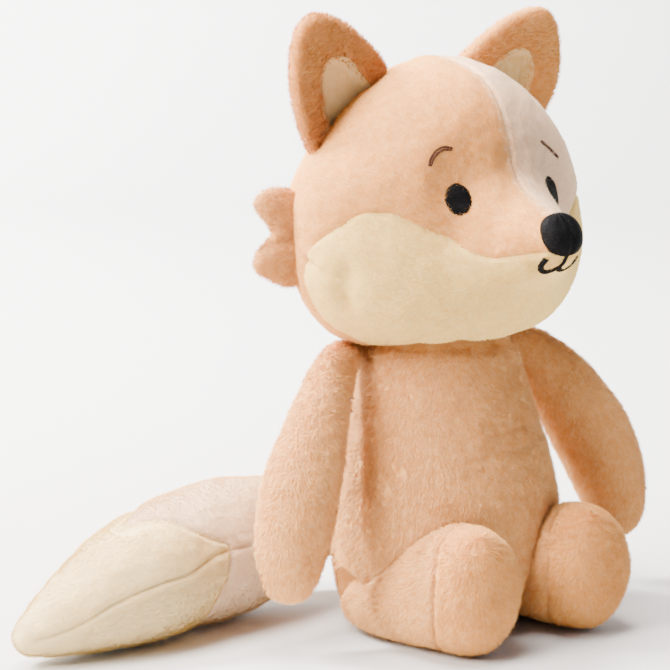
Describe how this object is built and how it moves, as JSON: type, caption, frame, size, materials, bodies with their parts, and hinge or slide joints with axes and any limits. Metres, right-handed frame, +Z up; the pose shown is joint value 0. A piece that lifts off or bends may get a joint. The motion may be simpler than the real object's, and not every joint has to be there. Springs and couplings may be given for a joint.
{
  "type": "plush fox",
  "caption": "Sitting plush fox with upright head, rounded ears, cream cheeks, hanging arms, short legs with sewn soles and a thick two-colour tail laid to one side.",
  "frame": {"origin": "middle of the flat seat under the body, on the table", "axes": "+Z up; the fox faces -Y; +X points to the fox's own left, and its tail lies to -X"},
  "size_m": [0.3126, 0.1653, 0.2779],
  "materials": {
    "apricot_plush": "short plush pile",
    "tan_plush": "short plush pile",
    "cream_plush": "short plush pile",
    "black_thread": "satin stitch",
    "brown_thread": "satin stitch",
    "polyester_fibre": "loose fibre"
  },
  "bodies": {
    "body": {"belly_panel": "tan_plush", "back_panel": "tan_plush", "body_stuffing": "polyester_fibre"},
    "head": {"face_panel_left": "apricot_plush", "face_panel_right": "apricot_plush", "cheek_panel_left": "cream_plush", "cheek_panel_right": "cream_plush", "head_back_panel": "apricot_plush", "head_stuffing": "polyester_fibre", "ear_left": "apricot_plush", "ear_right": "apricot_plush", "ear_lining_left": "cream_plush", "ear_lining_right": "cream_plush", "cheek_tuft_left": "tan_plush", "cheek_tuft_right": "tan_plush", "eye_left": "black_thread", "eye_right": "black_thread", "brow_left": "brown_thread", "brow_right": "brown_thread", "nose": "black_thread", "mouth_line": "black_thread", "smile": "black_thread"},
    "arm_left": {"arm_skin_left": "tan_plush", "arm_stuffing_left": "polyester_fibre"},
    "arm_right": {"arm_skin_right": "tan_plush", "arm_stuffing_right": "polyester_fibre"},
    "leg_left": {"leg_skin_left": "tan_plush", "sole_panel_left": "apricot_plush", "leg_stuffing_left": "polyester_fibre"},
    "leg_right": {"leg_skin_right": "tan_plush", "sole_panel_right": "apricot_plush", "leg_stuffing_right": "polyester_fibre"},
    "tail": {"tail_base_skin": "tan_plush", "tail_tip_skin": "cream_plush", "tail_stuffing": "polyester_fibre"}
  },
  "joints": [
    {"name": "neck_turn", "type": "hinge", "parent": "body", "child": "head", "pos_m": [0, 0, 0.102], "axis": [0, 0, 1], "range_deg": [-30, 30], "stiffness_Nm_per_rad": 0.05},
    {"name": "shoulder_left", "type": "hinge", "parent": "body", "child": "arm_left", "pos_m": [0.0352, 0.0136, 0.122], "axis": [-0.9097, -0.3492, -0.225], "range_deg": [-60, 30], "stiffness_Nm_per_rad": 0.02},
    {"name": "shoulder_right", "type": "hinge", "parent": "body", "child": "arm_right", "pos_m": [-0.0352, 0.0136, 0.122], "axis": [-0.9097, 0.3492, 0.225], "range_deg": [-4, 30], "stiffness_Nm_per_rad": 0.02},
    {"name": "hip_left", "type": "hinge", "parent": "body", "child": "leg_left", "pos_m": [0.034, -0.002, 0.0138], "axis": [1, 0, 0], "range_deg": [0, 60], "stiffness_Nm_per_rad": 0.02},
    {"name": "hip_right", "type": "hinge", "parent": "body", "child": "leg_right", "pos_m": [-0.034, -0.002, 0.0138], "axis": [1, 0, 0], "range_deg": [0, 60], "stiffness_Nm_per_rad": 0.02},
    {"name": "tail_swing", "type": "hinge", "parent": "body", "child": "tail", "pos_m": [-0.006, 0.0514, 0.03515], "axis": [0, 0, 1], "range_deg": [-60, 0], "stiffness_Nm_per_rad": 0.02}
  ]
}
